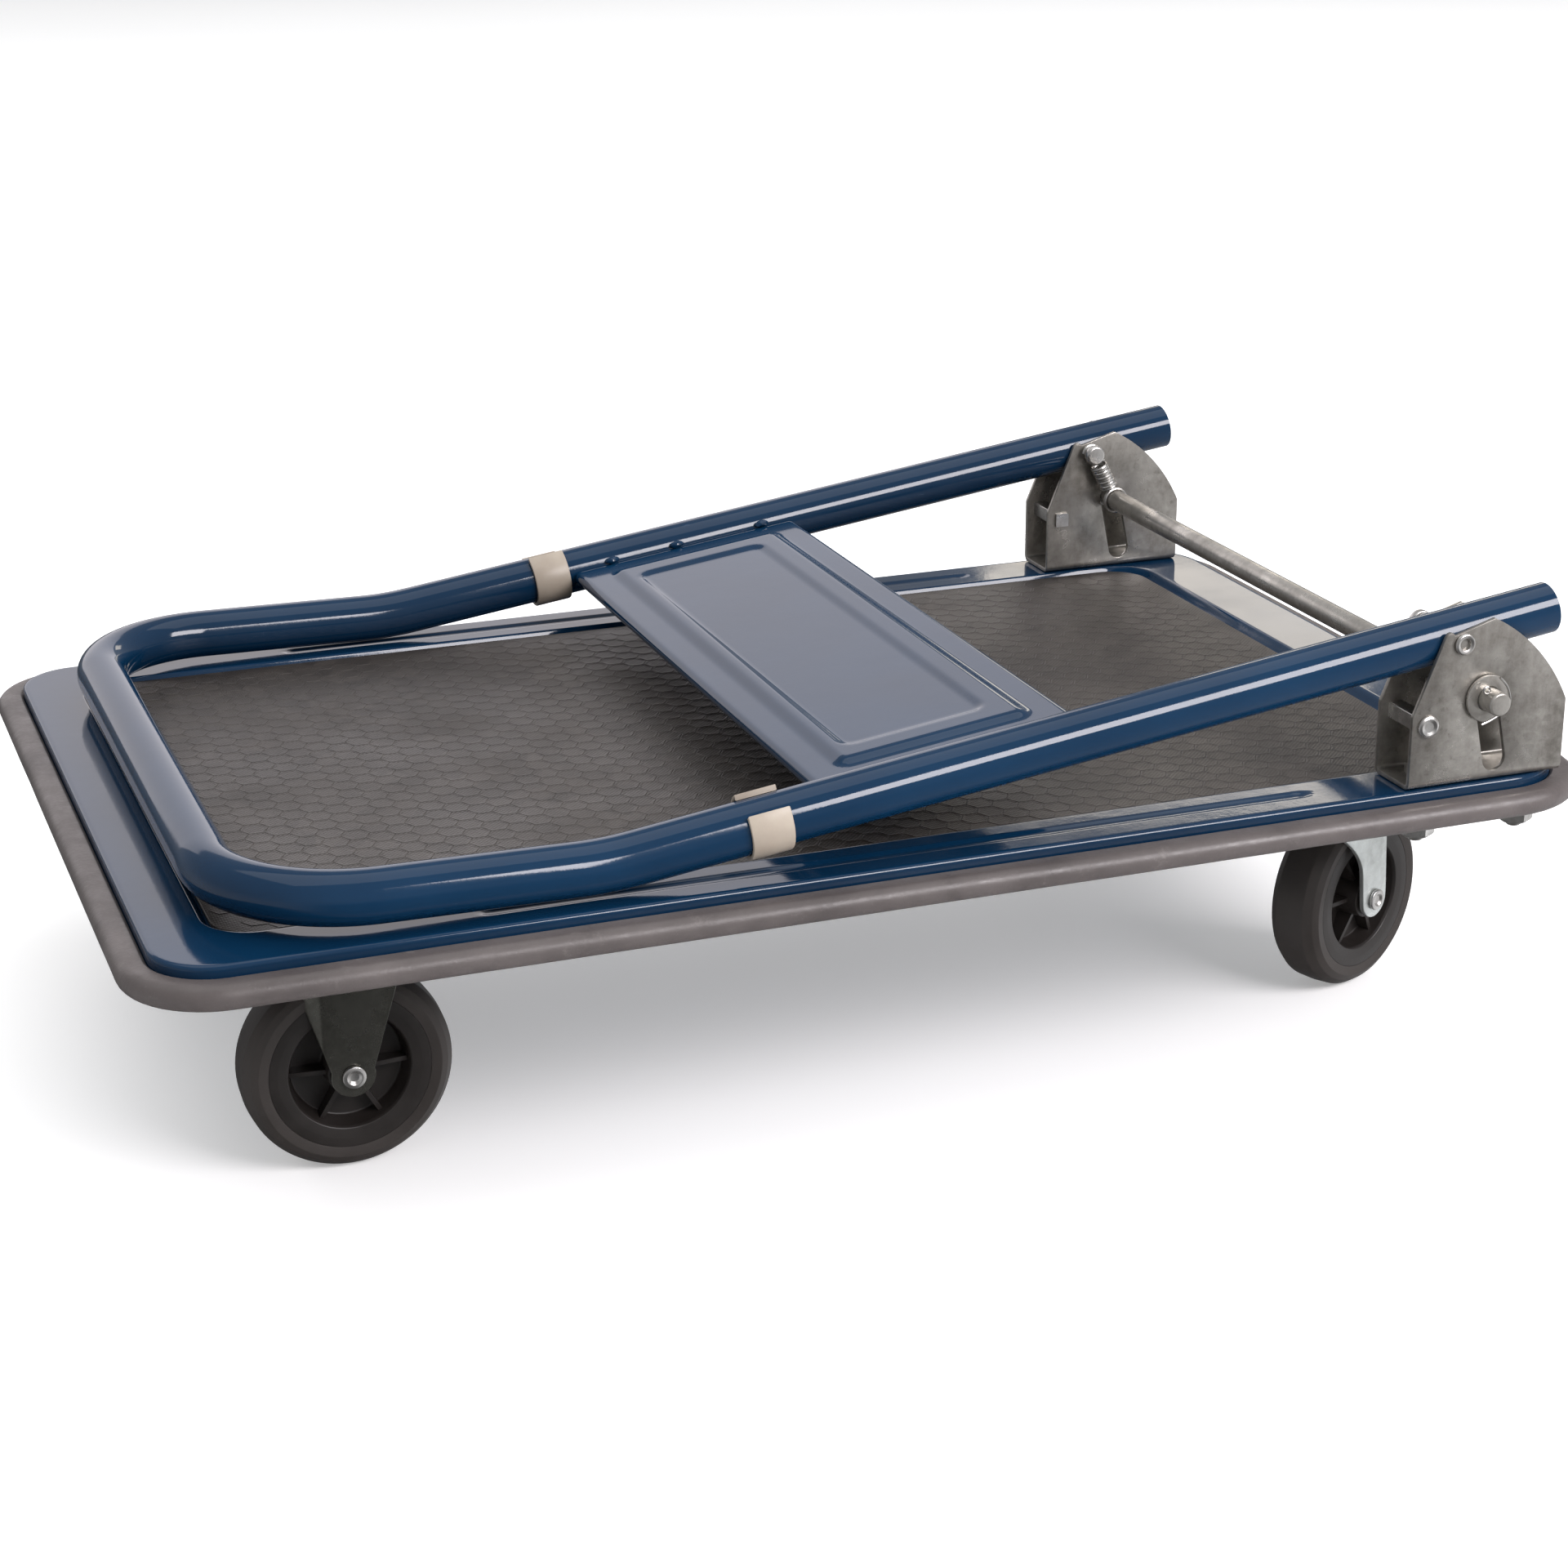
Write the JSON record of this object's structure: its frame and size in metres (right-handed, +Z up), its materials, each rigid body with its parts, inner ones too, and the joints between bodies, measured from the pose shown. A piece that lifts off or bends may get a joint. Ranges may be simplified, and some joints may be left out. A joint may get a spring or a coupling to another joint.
{
  "type": "folding platform cart",
  "caption": "Low steel platform cart with a rubber edge bumper, an anti-slip mat, a fold-down tubular push handle with a foot-release rod, fixed wheels in front and swivel casters behind.",
  "frame": {"origin": "on the ground, below the middle of the deck", "axes": "+X along the deck towards the handle brackets and swivel casters, +Y towards the far long side, +Z up"},
  "size_m": [0.7354, 0.4734, 0.2353],
  "materials": {
    "blue_enamel": "glossy stoved enamel",
    "mat_rubber": "fine embossed honeycomb, slight sheen",
    "bumper_rubber": "satin, scuffed",
    "galvanised_steel": "mottled galvanised",
    "zinc_hardware": "bright zinc plate",
    "tyre_rubber": "matt",
    "hub_plastic": "moulded",
    "clip_plastic": "satin"
  },
  "bodies": {
    "deck": {"deck_pan": "blue_enamel", "rear_channel": "blue_enamel", "front_channel": "blue_enamel", "anti_slip_mat": "mat_rubber", "edge_bumper": "bumper_rubber", "bracket_near": "galvanised_steel", "bracket_far": "galvanised_steel", "stop_bar_near": "zinc_hardware", "stop_bar_far": "zinc_hardware", "bracket_bolt_near_1": "zinc_hardware", "bracket_bolt_near_2": "zinc_hardware", "bracket_bolt_far_1": "zinc_hardware", "bracket_bolt_far_2": "zinc_hardware", "bracket_washer_near_1": "zinc_hardware", "bracket_washer_near_2": "zinc_hardware", "bracket_washer_far_1": "zinc_hardware", "bracket_washer_far_2": "zinc_hardware", "bracket_nut_near_1": "zinc_hardware", "bracket_nut_near_2": "zinc_hardware", "bracket_nut_far_1": "zinc_hardware", "bracket_nut_far_2": "zinc_hardware", "release_spring_near": "zinc_hardware", "release_spring_far": "zinc_hardware", "fixed_fork_near": "galvanised_steel", "fixed_fork_far": "galvanised_steel", "axle_sleeve_fixed_near": "zinc_hardware", "axle_sleeve_fixed_far": "zinc_hardware", "axle_bolt_fixed_near": "zinc_hardware", "axle_bolt_fixed_far": "zinc_hardware", "swivel_plate_near": "galvanised_steel", "swivel_plate_far": "galvanised_steel", "kingpin_near": "zinc_hardware", "kingpin_far": "zinc_hardware"},
    "pivot_pins": {"pivot_rivet_near": "zinc_hardware", "pivot_rivet_far": "zinc_hardware"},
    "handle": {"handle_tube": "blue_enamel", "cross_panel": "blue_enamel", "leg_clip_near": "clip_plastic", "leg_clip_far": "clip_plastic"},
    "release": {"release_rod": "galvanised_steel", "rod_washer_near": "zinc_hardware", "rod_washer_far": "zinc_hardware", "split_pin_near": "zinc_hardware", "split_pin_far": "zinc_hardware"},
    "near_caster": {"swivel_fork_near": "galvanised_steel", "axle_sleeve_swivel_near": "zinc_hardware", "axle_bolt_swivel_near": "zinc_hardware"},
    "far_caster": {"swivel_fork_far": "galvanised_steel", "axle_sleeve_swivel_far": "zinc_hardware", "axle_bolt_swivel_far": "zinc_hardware"},
    "near_swivel_wheel": {"tyre_swivel_near": "tyre_rubber", "hub_swivel_near": "hub_plastic"},
    "far_swivel_wheel": {"tyre_swivel_far": "tyre_rubber", "hub_swivel_far": "hub_plastic"},
    "near_fixed_wheel": {"tyre_fixed_near": "tyre_rubber", "hub_fixed_near": "hub_plastic"},
    "far_fixed_wheel": {"tyre_fixed_far": "tyre_rubber", "hub_fixed_far": "hub_plastic"}
  },
  "joints": [
    {"name": "handle_raise", "type": "hinge", "parent": "deck", "child": "pivot_pins", "pos_m": [0.28, 0, 0.215], "axis": [0, 1, 0], "range_deg": [0, 64]},
    {"name": "handle_set_upright", "type": "hinge", "parent": "pivot_pins", "child": "handle", "pos_m": [0.28, 0, 0.215], "axis": [0, 1, 0], "range_deg": [0, 34]},
    {"name": "release_rod_slide", "type": "slide", "parent": "deck", "child": "release", "axis": [0.2079, 0, -0.9781], "range_m": [0, 0.033], "stiffness_N_per_m": 400, "springref_m": -0.02, "deforming": ["release_spring_near", "release_spring_far"]},
    {"name": "near_caster_swivel", "type": "hinge", "parent": "deck", "child": "near_caster", "pos_m": [0.25, -0.138, 0.11], "axis": [0, 0, 1], "continuous": true},
    {"name": "far_caster_swivel", "type": "hinge", "parent": "deck", "child": "far_caster", "pos_m": [0.25, 0.138, 0.11], "axis": [0, 0, 1], "continuous": true},
    {"name": "near_swivel_wheel_spin", "type": "hinge", "parent": "near_caster", "child": "near_swivel_wheel", "pos_m": [0.28172, -0.12321, 0.05], "axis": [-0.4226, 0.9063, 0], "continuous": true},
    {"name": "far_swivel_wheel_spin", "type": "hinge", "parent": "far_caster", "child": "far_swivel_wheel", "pos_m": [0.285, 0.138, 0.05], "axis": [0, 1, 0], "continuous": true},
    {"name": "near_fixed_wheel_spin", "type": "hinge", "parent": "deck", "child": "near_fixed_wheel", "pos_m": [-0.259, -0.138, 0.05], "axis": [0, 1, 0], "continuous": true},
    {"name": "far_fixed_wheel_spin", "type": "hinge", "parent": "deck", "child": "far_fixed_wheel", "pos_m": [-0.259, 0.138, 0.05], "axis": [0, 1, 0], "continuous": true}
  ],
  "couplings": [
    {"joint": "release_rod_slide", "follows": "handle_raise", "m_per_rad": 0.0295}
  ]
}
